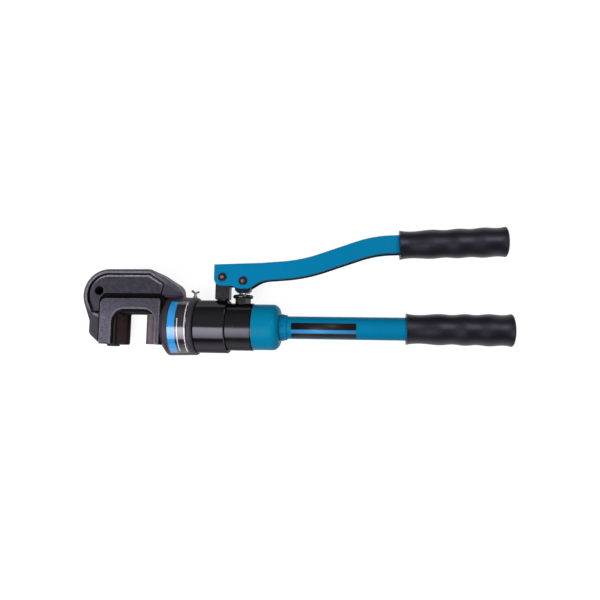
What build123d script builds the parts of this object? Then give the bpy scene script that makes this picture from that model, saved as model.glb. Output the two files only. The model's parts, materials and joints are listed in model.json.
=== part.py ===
from build123d import *
import math
import os

# Hand operated hydraulic rebar cutter, millimetres.
# X runs along the ram axis from the head to the grips, Y points to the pump lever, Z points up from the
# side that the tool lies on. The origin is on the ram axis, in the cutting face of the fixed blade.

# Fits
RUN = 0.06  # radial play of a sliding or turning fit
SEAT = 0.05  # radial play of a screwed or pressed fit
APART = 0.3  # gap between faces that move past each other

# Head: the beam of the C, its legs and the jaw
BEAM_HALF = 25.0
BEAM_TOP = 65.5
BEAM_UNDER = 32.6
BEAM_EDGE = 2.2
NOSE_R = 31.0
NOSE_X = -10.2
SHOULDER_BACK = 8.3
SHOULDER_R = 12.0
TAIL_OUT = 15.5
TAIL_Y = 50.8
HEEL_OUT = 26.5
HEEL_HALF = 9.0
HEEL_TURN = 21.5
LEG_BOTTOM = -22.9
FRONT_LEG = 28.0
TOE = 14.0
TOE_ROUND = 9.0
BOSS_TOP = 4.0
BOSS_LOW = -11.2
JAW_WIDTH = 53.0
JAW_TOP = 18.1
JAW_CORNER = 15.0
JAW_BEVEL = 1.7
MOUTH_DEEP = 9.5
SLOT_TOP = 15.3
SLOT_CORNER = 1.2
SLOT_LEDGE = 1.7
PLATE_HALF = 28.0
PLATE_SIDE = 14.0
PLATE_TOP = 30.4
PLATE_CORNER = 6.5
PLATE_BACK_CORNER = 2.5
PLATE_EDGE = 1.0
PLATE_FOOT = 2.4
REAR_LEG = 5.5
STEP_DEPTH = 6.0
PANEL_LOW = 36.3
RIM = 5.2
GROOVE = 2.3
GROOVE_DEPTH = 3.5
FIELD_RIGHT = 1.0
FIELD_UP = 0.5
FIELD_EDGE = 0.7
POCKET_LOW = 13.0
POCKET_HEEL = 2.6
POCKET_TAIL = 11.3
POCKET_SLANT = 4.0
POCKET_ROUND = 5.0
POCKET_HOOK = 3.4
HANG_R = 5.25
HANG_X = -21.4
HANG_Y = 39.4

# Collar and barrel
COLLAR_R = 35.2
COLLAR_DRAFT = 1.0
COLLAR_LENGTH = 45.0
COLLAR_NECK_R = 21.0
COLLAR_CONE = 10.0
COLLAR_LIP = 2.4
COLLAR_WALL = 11.0
COLLAR_EDGE = 1.4
BARREL_R = 31.5
BARREL_LENGTH = 36.7
BARREL_EDGE = 1.0
SPIGOT_R = 28.0
RETAINER_BACK = 12.0
RETAINER_WIDE = 3.0
RETAINER_HIGH = 2.9

# Blades
BLADE_THICK = 13.7
BLADE_LOW = -22.1
BLADE_HIGH = 14.0
BLADE_STAND = 4.0
BLADE_SUNK = 8.0
BLADE_REAR = 24.0
SHEAR_GAP = 0.3
JAW_OPEN = 29.0
MOVING_LENGTH = 18.0
SHANK_R = 7.0
SHANK_LENGTH = 15.0
BLADE_RELIEF = 1.2
BLADE_BACK = 0.6
BLADE_LEAN = 1.9
SCREW_R = 4.0
SCREW_HEAD_R = 6.5
SCREW_HEAD = 8.0
SCREW_KEY = 6.0
STOP_X = -8.2
STOP_R = 3.0
STOP_DEEP = 9.0
STOP_HEAD_R = 7.6
STOP_HEAD = 2.5
STOP_ROUND = 1.6

# Ram
STROKE = 31.0
ROD_R = 17.0
PISTON_R = 22.5
PISTON_LENGTH = 16.0
RAM_HOLLOW_R = 9.0
RAM_NOSE_WALL = 19.0
SEAL_WIDE = 5.0
SEAL_HIGH = 3.4
GUIDE_WIDE = 4.0
GUIDE_HIGH = 1.8
WIPER_WIDE = 4.0
WIPER_HIGH = 2.5
SPRING_R = 6.5
SPRING_WIRE = 1.0
SPRING_TURNS = 9
ANCHOR_LENGTH = 4.0
STUD_HEAD = 3.0
STUD_ROOM = 1.5
STUD_R = 3.0
CYLINDER_FLOOR = 6.5

# Pump
PUMP_R = 28.1
PUMP_LENGTH = 30.2
PUMP_GROOVE = 1.3
PUMP_GROOVE_DEEP = 1.6
PUMP_SPIGOT_R = 14.0
PUMP_SPIGOT = 12.0
PUMP_TAIL_R = 22.5
PUMP_TAIL = 10.0
RING_WIRE = 1.6
PLUNGER_R = 5.0
PLUNGER_LOW = -4.0
CHAMBER_FLOOR = -8.0
GLAND_SEAT = 25.5
GLAND_THREAD_R = 7.5
GLAND_THREAD = 11.0
GLAND_HEX = 9.4
GLAND_HEX_HIGH = 8.2
GLAND_ROOM = 1.0
GLAND_RIM_R = 12.0
GLAND_RIM = 4.2
PACKING_HIGH = 4.0
VALVE_POCKET_R = 4.6
VALVE_BALL_R = 3.5
VALVE_THROAT_R = 2.0
VALVE_POCKET = 15.0
VALVE_PLUG = 3.0
VALVE_WIRE = 0.45
VALVE_COIL_ROOM = 1.3
VALVE_TURNS = 3
INLET_POCKET = 7.5
INLET_BACK = 3.0
INLET_SEAT_R = 5.5
FILTER_LENGTH = 9.0
FILTER_WALL = 0.8
RELEASE_R = 4.0
RELEASE_BACK = 21.2
RELEASE_Y = -14.0
RELEASE_DEEP = 12.0
RELEASE_KEY = 4.0

# Fulcrum and lever
FULCRUM_INSET = 8.6
FULCRUM_PIN_Y = 58.4
PIN_R = 3.5
PIN_SPAN = 25.0
PIN_DROP = 4.35
PIN_OUT = 2.2
CLIP_R = 5.3
CLIP_THICK = 1.0
CLIP_SINK = 0.7
CLIP_GAP = 1.4
BLOCK_WIDE = 17.2
BLOCK_LOW = 0.6
BLOCK_EDGE = 1.0
NECK_R = 7.0
NECK_SEAT = 1.5
STUD_POST_R = 5.5
STUD_POST = 11.0
LEVER_HALF = 8.5
LEVER_WALL = 2.5
LEVER_DEEP = 21.2
LEVER_EDGE = 1.1
LEVER_FRONT = 10.5
LEVER_FRONT_TOP = 74.0
LEVER_FRONT_LOW = 47.9
LEVER_CORNER = 9.8
LOBE_LOW = 9.45
LOBE_FRONT = 5.2
LOBE_REAR = 6.8
LOBE_RISE = 12.5
LOBE_ROUND = 8.0
LOBE_BLEND = 14.0
LOBE_SWEEP = 32.0
ARM_START_Y = 65.2
ARM_START = 21.6
ARM_FLAT = 25.9
ARM_FIRST = 4.2
ARM_CLIMB = 18.9
ARM_LAST = 1.75
ARM_BEND_1 = 182.0
ARM_BEND_2 = 130.0
ARM_RAMP = 44.5
ARM_TAIL = 9.8
EYE_WIDE = 18.6
EYE_HALF = 5.5
EYE_LOW = 40.3
EYE_TOP = 9.0
EYE_BACK = 0.8
EYE_LIFT = 0.1
EYE_TRAVEL = 1.3
EYE_PLAY = 0.45
EYE_CHAMFER = 3.2
EYE_ROUND = 3.0
STUB_R = 8.0
STUB_SUNK = 16.0
STUB_SHORT = 8.0

# Handle
CAP_R = 27.0
CAP_LENGTH = 31.0
CAP_WALL = 4.0
CAP_ROUND = 9.0
NUT_R = 15.7
NUT_STEP_R = 15.0
NUT_LENGTH = 8.5
TUBE_R = 13.3
TUBE_WALL = 2.0
TUBE_SHOWN = 137.3
TUBE_SUNK = 12.0
BLADDER_WALL = 0.8
BLADDER_LENGTH = 190.0
BLADDER_ROUND = 0.8
PLUG_LENGTH = 12.0
GRIP_LENGTH = 118.4
GRIP_END = 5.0
GRIP_R = 17.3
UPPER_GRIP_LENGTH = 121.2
UPPER_GRIP_R = 16.4
GRIP_WAVE = 0.55
GRIP_GROW = 0.25
GRIP_FLARE = 0.8
GRIP_WAVES = 3
GRIP_PLAIN = 27.0
UPPER_GRIP_PLAIN = 25.0
GRIP_TAIL = 13.7
UPPER_GRIP_TAIL = 12.2
GRIP_NECK = 0.55
GRIP_THROAT = 0.8
GRIP_ROUND = 1.9

# Wing screw
WING_BACK = 6.0
WING_R = 2.5
WING_STEM_R = 1.6
WING_STEM = 4.5
WING_SPAN = 6.0
WING_HIGH = 3.4
WING_THICK = 1.8
WING_TURN = 62.0
WING_ROOT = 1.0
WING_BELLY = 0.75
WING_WAIST = 0.25
WING_CHEEK = 0.7
WING_TIP = 0.8

# Stations along the ram axis
jaw_left = -BLADE_STAND
jaw_right = jaw_left + JAW_WIDTH
boss_x = jaw_left - FRONT_LEG
plate_left = jaw_left - PLATE_SIDE
plate_right = jaw_right + REAR_LEG
collar_back = jaw_right + COLLAR_WALL
collar_rear = jaw_right + COLLAR_LENGTH
shoulder_x = jaw_right - SHOULDER_BACK
tail_x = jaw_right + TAIL_OUT
heel_x = jaw_right + HEEL_OUT
retainer_x = collar_back + RETAINER_BACK
wing_x = collar_rear - WING_BACK
barrel_front = collar_rear + APART
barrel_rear = barrel_front + BARREL_LENGTH
pump_socket = barrel_rear - PUMP_SPIGOT - APART
cylinder_end = pump_socket - CYLINDER_FLOOR
piston_rear = cylinder_end - APART
piston_front = piston_rear - PISTON_LENGTH
spigot_front = piston_front - STROKE - APART
ram_nose = JAW_OPEN + MOVING_LENGTH
ram_floor = ram_nose + RAM_NOSE_WALL
pump_rear = barrel_rear + PUMP_LENGTH
pump_tail = pump_rear + PUMP_TAIL
inlet_x = pump_rear + INLET_BACK
cap_rear = pump_rear + CAP_LENGTH
nut_rear = cap_rear + NUT_LENGTH
grip_front = nut_rear + TUBE_SHOWN
grip_rear = grip_front + GRIP_LENGTH
tube_rear = grip_rear - GRIP_END
fulcrum_x = barrel_rear - FULCRUM_INSET
pin_x = fulcrum_x + PIN_SPAN
plunger_x = pin_x - EYE_BACK
plunger_pin_y = FULCRUM_PIN_Y - PIN_DROP
gland_top = GLAND_SEAT + GLAND_HEX_HIGH + GLAND_RIM
lever_inner = LEVER_HALF - LEVER_WALL
block_low = BARREL_R + BLOCK_LOW
neck_seat = BARREL_R - NECK_SEAT
nose_y = BEAM_TOP - NOSE_R
fix_low_z = SHEAR_GAP / 2
move_high_z = -SHEAR_GAP / 2

BASE = (Align.CENTER, Align.CENTER, Align.MIN)
CORNER = (Align.MIN, Align.MIN, Align.MIN)
BEYOND = 20.0  # overrun of a cut past the face that it opens


def rod_x(radius, start, end, y=0.0, z=0.0):
    return Pos(start, y, z) * Rot(0, 90, 0) * Cylinder(radius, end - start, align=BASE)


def rod_y(radius, start, end, x, z=0.0):
    return Pos(x, start, z) * Rot(-90, 0, 0) * Cylinder(radius, end - start, align=BASE)


def rod_z(radius, start, end, x, y):
    return Pos(x, y, start) * Cylinder(radius, end - start, align=BASE)


def slab(low, high):
    size = [b - a for a, b in zip(low, high)]
    return Pos(*low) * Box(*size, align=CORNER)


def turned(points):
    """Solid of revolution about X from (x, radius) points."""
    return revolve(make_face(Polyline(*points, close=True)), Axis.X)


def ring_x(inner, outer, start, end):
    return rod_x(outer, start, end) - rod_x(inner, start - BEYOND, end + BEYOND)


def o_ring(radius, x):
    """Round seal of wire radius RING_WIRE, its centre line at the given radius about X."""
    return Pos(x, 0, 0) * Rot(0, 90, 0) * Torus(radius, RING_WIRE)


def tangent_point(centre, radius, point, turn):
    """Where a line from the point touches the circle; turn is +1 or -1 for the two sides."""
    dx = point[0] - centre[0]
    dy = point[1] - centre[1]
    angle = math.atan2(dy, dx) + turn * math.acos(radius / math.hypot(dx, dy))
    return (centre[0] + radius * math.cos(angle), centre[1] + radius * math.sin(angle))


def arc_about(centre, start, end):
    """Arc from start to end about a centre, by the shorter way round."""
    radius = math.hypot(start[0] - centre[0], start[1] - centre[1])
    mid = ((start[0] + end[0]) / 2 - centre[0], (start[1] + end[1]) / 2 - centre[1])
    scale = radius / math.hypot(*mid)
    return ThreePointArc(start, (centre[0] + mid[0] * scale, centre[1] + mid[1] * scale), end)


def coil(radius, wire, start, end, turns):
    """Round wire wound about X; every quarter turn is two arcs that share their tangent."""
    lead = (end - start) / turns / (2 * math.pi)
    arcs = []
    for quarter in range(4 * turns):
        ends = []
        for step in (quarter, quarter + 1):
            angle = step * math.pi / 2
            place = Vector(start + lead * angle, radius * math.cos(angle), radius * math.sin(angle))
            along = Vector(lead, -radius * math.sin(angle), radius * math.cos(angle)).normalized()
            ends.append((place, along))
        (p, t), (q, u) = ends
        gap = q - p
        both = t + u
        square = both.dot(both) - 4
        half = gap.dot(both)
        reach = (half - math.sqrt(half * half - square * gap.dot(gap))) / square
        first = p + t * reach
        second = q - u * reach
        middle = (first + second) * 0.5
        arcs.append(TangentArc(p, middle, tangent=t))
        arcs.append(TangentArc(middle, q, tangent=second - first))
    path = Wire([arc.edge() for arc in arcs])
    begin = Plane(origin=path @ 0, z_dir=path % 0)
    return sweep(begin * Circle(wire), path=path)


def both_sides(tool):
    return tool + mirror(tool, about=Plane.XY)


# Head


def head_outline():
    """Side view of the cast C, with the jaw still closed."""
    nose = (NOSE_X, nose_y)
    touch = tangent_point(nose, NOSE_R, (boss_x, BOSS_TOP), -1)
    crown = (NOSE_X, BEAM_TOP)
    shoulder = (shoulder_x, BEAM_TOP)
    tail = (tail_x, TAIL_Y)
    heel = (heel_x, BEAM_UNDER)
    toe = (boss_x + TOE, LEG_BOTTOM)
    edges = Curve() + [
        Line(toe, (boss_x, BOSS_LOW)),
        Line((boss_x, BOSS_LOW), (boss_x, BOSS_TOP)),
        Line((boss_x, BOSS_TOP), touch),
        arc_about(nose, touch, crown),
        Line(crown, shoulder),
        Line(shoulder, tail),
        TangentArc(tail, heel, tangent=(tail_x - shoulder_x, TAIL_Y - BEAM_TOP)),
        Line(heel, (plate_right, BEAM_UNDER)),
        Line((plate_right, BEAM_UNDER), (plate_right, LEG_BOTTOM)),
        Line((plate_right, LEG_BOTTOM), toe),
    ]
    face = make_face(edges)
    face = fillet(face.vertices().sort_by_distance((boss_x, BOSS_LOW, 0))[0], TOE_ROUND)
    return fillet(face.vertices().sort_by_distance(shoulder + (0,))[0], SHOULDER_R)


def pocket_outline():
    """Field inside the rim of the beam; a groove runs round its edge."""
    nose = (NOSE_X, nose_y)
    inner = NOSE_R - RIM
    low = (boss_x + POCKET_HEEL, POCKET_LOW)
    touch = tangent_point(nose, inner, low, -1)
    slope = Vector(tail_x - shoulder_x, TAIL_Y - BEAM_TOP).normalized()
    crown_y = BEAM_TOP - RIM
    turn_x = shoulder_x - RIM * math.tan(math.atan2(-slope.Y, slope.X) / 2)
    end_x = tail_x - POCKET_TAIL + RIM
    end_y = crown_y + (end_x - turn_x) * slope.Y / slope.X
    floor_y = PANEL_LOW - GROOVE
    floor_x = plate_left + floor_y - PLATE_TOP
    edges = Curve() + [
        Line(low, touch),
        arc_about(nose, touch, (NOSE_X, crown_y)),
        Line((NOSE_X, crown_y), (turn_x, crown_y)),
        Line((turn_x, crown_y), (end_x, end_y)),
        Line((end_x, end_y), (end_x - POCKET_SLANT, floor_y)),
        Line((end_x - POCKET_SLANT, floor_y), (floor_x, floor_y)),
        Line((floor_x, floor_y), (plate_left, PLATE_TOP)),
        Line((plate_left, PLATE_TOP), (plate_left, POCKET_LOW)),
        Line((plate_left, POCKET_LOW), low),
    ]
    face = make_face(edges)
    face = fillet(face.vertices().sort_by_distance((end_x, end_y, 0))[0], POCKET_ROUND)
    return fillet(face.vertices().sort_by_distance(low + (0,))[0], POCKET_HOOK)


def plate_outline():
    """Raised plate round the jaw."""
    face = Rectangle(plate_right - plate_left, PLATE_TOP - LEG_BOTTOM)
    upper = face.vertices().sort_by(Axis.Y)[-2:].sort_by(Axis.X)
    face = fillet(upper[0], PLATE_CORNER)
    rear = face.vertices().group_by(Axis.X)[-1].sort_by(Axis.Y)[-1]
    face = fillet(rear, PLATE_BACK_CORNER)
    return Pos((plate_right + plate_left) / 2, (PLATE_TOP + LEG_BOTTOM) / 2) * face


def step_outline():
    """Deep step round the jaw plate; to the rear it opens over the collar."""
    left = plate_left - GROOVE
    low = LEG_BOTTOM - BEYOND
    corner = (left, PANEL_LOW)
    points = [
        (left, low),
        corner,
        (plate_right, PANEL_LOW),
        (plate_right + PANEL_LOW - BEAM_UNDER, BEAM_UNDER),
        (heel_x + BEYOND, BEAM_UNDER),
        (heel_x + BEYOND, low),
    ]
    face = make_face(Polyline(*points, close=True))
    return fillet(face.vertices().sort_by_distance(corner + (0,))[0], PLATE_CORNER + GROOVE)


def head_casting():
    beam = extrude(head_outline(), amount=BEAM_HALF, both=True)
    flanks = beam.faces().sort_by(Axis.Z)
    beam = fillet(flanks[0].edges() + flanks[-1].edges(), BEAM_EDGE)
    field = pocket_outline()
    raised = Pos(FIELD_RIGHT, FIELD_UP) * offset(field, amount=-GROOVE, kind=Kind.INTERSECTION)
    cut = Pos(0, 0, BEAM_HALF - GROOVE_DEPTH) * extrude(field - raised, amount=BEYOND)
    beam -= both_sides(cut)
    flanks = beam.faces().sort_by(Axis.Z)
    panels = [pair.sort_by(SortBy.AREA)[0] for pair in (flanks[:2], flanks[-2:])]
    beam = chamfer(panels[0].edges() + panels[1].edges(), FIELD_EDGE)
    beam -= both_sides(Pos(0, 0, BEAM_HALF - STEP_DEPTH) * extrude(step_outline(), amount=BEYOND))
    beam -= both_sides(heel_taper())
    plate = extrude(plate_outline(), amount=PLATE_HALF, both=True)
    foot = plate.edges().filter_by(Axis.X).group_by(Axis.Y)[0]
    plate = chamfer(foot, PLATE_FOOT)
    sides = plate.faces().sort_by(Axis.Z)
    plate = fillet(sides[0].edges() + sides[-1].edges(), PLATE_EDGE)
    collar = turned(
        [
            (jaw_right, 0),
            (jaw_right, COLLAR_NECK_R),
            (jaw_right + COLLAR_CONE, COLLAR_R - COLLAR_EDGE),
            (jaw_right + COLLAR_CONE + COLLAR_EDGE, COLLAR_R),
            (collar_rear, COLLAR_R - COLLAR_DRAFT),
            (collar_rear, 0),
        ]
    )
    lip = collar.edges().filter_by(GeomType.CIRCLE).group_by(Axis.X)[-1].sort_by(SortBy.LENGTH)[-1]
    collar = fillet(lip, COLLAR_LIP)
    head = beam + plate + collar
    head -= jaw_space()
    head -= rod_x(ROD_R + RUN, ram_nose - STROKE - APART, collar_rear)
    head -= rod_x(ROD_R + WIPER_HIGH, collar_back - WIPER_WIDE, collar_rear)
    head -= rod_x(SPIGOT_R + RUN, collar_back, collar_rear + BEYOND)
    half = RETAINER_WIDE / 2 + APART
    head -= rod_x(SPIGOT_R + RETAINER_HIGH / 2 + APART, retainer_x - half, retainer_x + half)
    head -= rod_z(HANG_R, -BEAM_HALF - BEYOND, BEAM_HALF + BEYOND, HANG_X, HANG_Y)
    head -= rod_y(WING_R + RUN, SPIGOT_R - APART, COLLAR_R + BEYOND, wing_x)
    head -= slab(
        (jaw_left - BLADE_SUNK, BLADE_LOW - BEYOND, -BLADE_REAR - SEAT),
        (jaw_left + BEYOND, BLADE_HIGH + SEAT, fix_low_z + BLADE_THICK + SEAT),
    )
    screw_y = (BOSS_TOP + BOSS_LOW) / 2
    screw_z = fix_low_z + BLADE_THICK / 2
    head -= rod_x(SCREW_R + SEAT, boss_x - BEYOND, jaw_left, screw_y, screw_z)
    head -= rod_x(SCREW_HEAD_R + SEAT, boss_x - BEYOND, boss_x + SCREW_HEAD, screw_y, screw_z)
    return head


def heel_taper():
    """Slanting flat that thins the beam towards its heel."""
    thin = BEAM_HALF - HEEL_HALF
    start = heel_x - thin
    wedge = Polyline(
        (0, BEAM_HALF),
        (BEAM_HALF, 0),
        (BEAM_HALF + BEYOND, BEAM_HALF),
        close=True,
    )
    flat = extrude(Rot(90, 0, 0) * make_face(wedge), amount=BEAM_TOP, both=True)
    return Pos(start, (BEAM_TOP + BEAM_UNDER) / 2, 0) * Rot(0, 0, -HEEL_TURN) * flat


def jaw_space():
    """Straight slot for the bar and the blades, with a wider rounded mouth in the front plate.

    The slot's front wall stands a ledge proud of the mouth.
    """
    middle = (jaw_left + jaw_right) / 2
    slot_high = SLOT_TOP - LEG_BOTTOM + BEYOND
    slot = RectangleRounded(JAW_WIDTH - SLOT_LEDGE, slot_high, SLOT_CORNER)
    slot = Pos(middle + SLOT_LEDGE / 2, SLOT_TOP - slot_high / 2) * slot
    space = extrude(slot, amount=PLATE_HALF + BEYOND, both=True)
    high = JAW_TOP - LEG_BOTTOM + BEYOND
    place = Pos(middle, JAW_TOP - high / 2, PLATE_HALF)
    mouth = RectangleRounded(JAW_WIDTH, high, JAW_CORNER)
    wide = RectangleRounded(JAW_WIDTH + 2 * JAW_BEVEL, high + 2 * JAW_BEVEL, JAW_CORNER + JAW_BEVEL)
    front = slab(
        (jaw_left - BEYOND, LEG_BOTTOM - BEYOND, PLATE_HALF - MOUTH_DEEP),
        (jaw_right + BEYOND, JAW_TOP + BEYOND, PLATE_HALF + BEYOND),
    )
    space -= front
    space += place * extrude(mouth, amount=-MOUTH_DEEP)
    space += place * extrude(mouth, amount=BEYOND)
    space += place * extrude(wide, amount=-JAW_BEVEL, taper=45)
    blade_low = (JAW_OPEN, BLADE_LOW - SEAT, move_high_z - BLADE_THICK - SEAT)
    blade_high = (ram_nose + SEAT, BLADE_HIGH + SEAT, move_high_z + SEAT)
    return space + slab(blade_low, blade_high)


def fixed_blade():
    """Block let into the front leg; its cutting half stands proud and leans back towards its foot."""
    low = (jaw_left - BLADE_SUNK, BLADE_LOW, -BLADE_REAR)
    blade = slab(low, (jaw_left, BLADE_HIGH, fix_low_z + BLADE_THICK))
    cutting = Polyline(
        (jaw_left, BLADE_LOW),
        (-BLADE_LEAN, BLADE_LOW),
        (-BLADE_BACK, BLADE_HIGH),
        (jaw_left, BLADE_HIGH),
        close=True,
    )
    blade += Pos(0, 0, fix_low_z) * extrude(make_face(cutting), amount=BLADE_THICK)
    outer = blade.edges().group_by(Axis.Z)[-1].sort_by(Axis.X)[-1]
    blade = chamfer(outer, BLADE_RELIEF)
    screw_y = (BOSS_TOP + BOSS_LOW) / 2
    screw_z = fix_low_z + BLADE_THICK / 2
    blade -= rod_x(SCREW_R + SEAT, low[0] - BEYOND, -BLADE_STAND / 2, screw_y, screw_z)
    return blade - rod_y(STOP_R + SEAT, BLADE_LOW - BEYOND, LEG_BOTTOM + STOP_DEEP + SEAT, STOP_X, screw_z)


def blade_stop_screw():
    """Low round head under the front leg; its thread holds the blade down in its pocket."""
    z = fix_low_z + BLADE_THICK / 2
    head_top = LEG_BOTTOM - SEAT
    head = rod_y(STOP_HEAD_R, head_top - STOP_HEAD, head_top, STOP_X, z)
    rim = head.edges().filter_by(GeomType.CIRCLE).sort_by(Axis.Y)[0]
    head = fillet(rim, STOP_ROUND)
    return head + rod_y(STOP_R, head_top, LEG_BOTTOM + STOP_DEEP, STOP_X, z)


def fixed_blade_screw():
    y = (BOSS_TOP + BOSS_LOW) / 2
    z = fix_low_z + BLADE_THICK / 2
    head_end = boss_x + SCREW_HEAD
    screw = rod_x(SCREW_HEAD_R, boss_x + SEAT, head_end, y, z)
    screw += rod_x(SCREW_R, head_end, jaw_left - SEAT, y, z)
    key = extrude(RegularPolygon(SCREW_KEY / 2, 6, major_radius=False), amount=SCREW_HEAD / 2)
    return screw - Pos(boss_x, y, z) * Rot(0, 90, 0) * key


def moving_blade():
    low = (JAW_OPEN, BLADE_LOW, move_high_z - BLADE_THICK)
    high = (ram_nose, BLADE_HIGH, move_high_z)
    blade = slab(low, high)
    outer = blade.edges().filter_by(Axis.Y).sort_by(Axis.Z)[:2].sort_by(Axis.X)[0]
    blade = chamfer(outer, BLADE_RELIEF)
    shank_z = move_high_z - BLADE_THICK / 2
    return blade + rod_x(SHANK_R, ram_nose, ram_nose + SHANK_LENGTH, 0, shank_z)


# Ram


def ram():
    solid = turned(
        [
            (ram_nose, 0),
            (ram_nose, ROD_R),
            (piston_front, ROD_R),
            (piston_front, PISTON_R - RUN),
            (piston_rear, PISTON_R - RUN),
            (piston_rear, RAM_HOLLOW_R),
            (ram_floor, RAM_HOLLOW_R),
            (ram_floor, 0),
        ]
    )
    solid -= ring_x(PISTON_R - SEAL_HIGH, PISTON_R, seal_x(), seal_x() + SEAL_WIDE)
    solid -= ring_x(PISTON_R - GUIDE_HIGH, PISTON_R, guide_x(), guide_x() + GUIDE_WIDE)
    shank_z = move_high_z - BLADE_THICK / 2
    solid -= rod_x(SHANK_R + SEAT, ram_nose - BEYOND, ram_nose + SHANK_LENGTH + SEAT, 0, shank_z)
    return solid


def seal_x():
    return piston_rear - PISTON_LENGTH / 4 - SEAL_WIDE


def guide_x():
    return piston_front + PISTON_LENGTH / 8


def piston_seal():
    low = PISTON_R - SEAL_HIGH + SEAT
    return ring_x(low, PISTON_R - RUN, seal_x() + SEAT, seal_x() + SEAL_WIDE - SEAT)


def piston_guide_ring():
    low = PISTON_R - GUIDE_HIGH + SEAT
    return ring_x(low, PISTON_R - RUN, guide_x() + SEAT, guide_x() + GUIDE_WIDE - SEAT)


def rod_wiper():
    front = collar_back - WIPER_WIDE + SEAT
    return ring_x(ROD_R + RUN, ROD_R + WIPER_HIGH - SEAT, front, collar_back - SEAT)


def spring_anchor():
    return rod_x(RAM_HOLLOW_R - SEAT, ram_floor + SEAT, ram_floor + ANCHOR_LENGTH)


def return_spring():
    start = ram_floor + ANCHOR_LENGTH + APART + SPRING_WIRE
    end = cylinder_end - STUD_HEAD - APART - SPRING_WIRE
    return coil(SPRING_R, SPRING_WIRE, start, end, SPRING_TURNS)


def spring_stud():
    head = rod_x(RAM_HOLLOW_R - STUD_ROOM, cylinder_end - STUD_HEAD, cylinder_end)
    return head + rod_x(STUD_R, cylinder_end, pump_socket - CYLINDER_FLOOR / 4)


# Barrel and pump


def cylinder_barrel():
    barrel = turned(
        [
            (spigot_front, 0),
            (spigot_front, SPIGOT_R),
            (barrel_front, SPIGOT_R),
            (barrel_front, BARREL_R - BARREL_EDGE),
            (barrel_front + BARREL_EDGE, BARREL_R),
            (barrel_rear - BARREL_EDGE, BARREL_R),
            (barrel_rear, BARREL_R - BARREL_EDGE),
            (barrel_rear, 0),
        ]
    )
    barrel -= rod_x(PISTON_R, spigot_front - BEYOND, cylinder_end)
    barrel -= rod_x(PUMP_SPIGOT_R + SEAT, pump_socket, barrel_rear + BEYOND)
    barrel -= rod_x(STUD_R + SEAT, cylinder_end - BEYOND, pump_socket - CYLINDER_FLOOR / 4 + SEAT)
    barrel -= rod_x(VALVE_THROAT_R, cylinder_end - BEYOND, pump_socket + SEAT, -RAM_HOLLOW_R)
    half = RETAINER_WIDE / 2 + SEAT
    low = SPIGOT_R - RETAINER_HIGH / 2 - SEAT
    barrel -= ring_x(low, SPIGOT_R + BEYOND, retainer_x - half, retainer_x + half)
    barrel -= rod_y(NECK_R + SEAT, neck_seat, BARREL_R + BEYOND, fulcrum_x)
    barrel -= rod_y(STUD_POST_R + SEAT, neck_seat - STUD_POST - SEAT, neck_seat + BEYOND, fulcrum_x)
    return barrel


def head_retaining_ring():
    low = SPIGOT_R - RETAINER_HIGH / 2
    return ring_x(low, low + RETAINER_HIGH, retainer_x - RETAINER_WIDE / 2, retainer_x + RETAINER_WIDE / 2)


def pump_body():
    front = barrel_rear - PUMP_SPIGOT
    body = turned(
        [
            (front, 0),
            (front, PUMP_SPIGOT_R),
            (barrel_rear, PUMP_SPIGOT_R),
            (barrel_rear, PUMP_R),
            (pump_rear - PUMP_GROOVE, PUMP_R),
            (pump_rear - PUMP_GROOVE, PUMP_R - PUMP_GROOVE_DEEP),
            (pump_rear, PUMP_R - PUMP_GROOVE_DEEP),
            (pump_rear, PUMP_TAIL_R),
            (pump_tail, PUMP_TAIL_R),
            (pump_tail, 0),
        ]
    )
    body -= rod_y(PLUNGER_R + RUN, CHAMBER_FLOOR, PUMP_R, plunger_x)
    body -= rod_y(GLAND_THREAD_R + SEAT, GLAND_SEAT - GLAND_THREAD - PACKING_HIGH, PUMP_R, plunger_x)
    body -= rod_y(GLAND_HEX + GLAND_ROOM, GLAND_SEAT, PUMP_R + BEYOND, plunger_x)
    body -= rod_x(VALVE_POCKET_R, front - BEYOND, front + VALVE_POCKET)
    body -= rod_x(VALVE_THROAT_R, front, plunger_x)
    body -= rod_x(VALVE_POCKET_R, inlet_x - INLET_POCKET, inlet_x)
    body -= rod_x(VALVE_THROAT_R, plunger_x, pump_tail)
    body -= rod_x(INLET_SEAT_R + SEAT, inlet_x, pump_tail + BEYOND)
    for x in (barrel_rear - PUMP_SPIGOT / 2, pump_rear + PUMP_TAIL / 2):
        radius = PUMP_SPIGOT_R if x < barrel_rear else PUMP_TAIL_R
        body -= o_ring(radius - RING_WIRE - SEAT, x)
        body -= ring_x(radius - RING_WIRE - SEAT, radius + BEYOND, x - RING_WIRE, x + RING_WIRE)
    body -= release_space(SEAT)
    return body


def release_space(play):
    x = pump_rear - RELEASE_BACK
    face = -math.sqrt(PUMP_R**2 - RELEASE_Y**2)
    return rod_z(RELEASE_R + play, face - BEYOND, face + RELEASE_DEEP + play, x, RELEASE_Y)


def release_screw():
    x = pump_rear - RELEASE_BACK
    face = -math.sqrt(PUMP_R**2 - RELEASE_Y**2)
    screw = rod_z(RELEASE_R, face + RELEASE_R / 2, face + RELEASE_DEEP, x, RELEASE_Y)
    key = extrude(RegularPolygon(RELEASE_KEY / 2, 6, major_radius=False), amount=RELEASE_DEEP / 2)
    return screw - Pos(x, RELEASE_Y, face) * key


def pump_seal():
    return o_ring(PUMP_SPIGOT_R - RING_WIRE - SEAT, barrel_rear - PUMP_SPIGOT / 2)


def cap_seal():
    return o_ring(PUMP_TAIL_R - RING_WIRE - SEAT, pump_rear + PUMP_TAIL / 2)


def outlet_ball():
    seat_x = barrel_rear - PUMP_SPIGOT + VALVE_POCKET
    stand = math.sqrt(VALVE_BALL_R**2 - VALVE_THROAT_R**2)
    return Pos(seat_x - stand - SEAT, 0, 0) * Sphere(VALVE_BALL_R)


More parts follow.
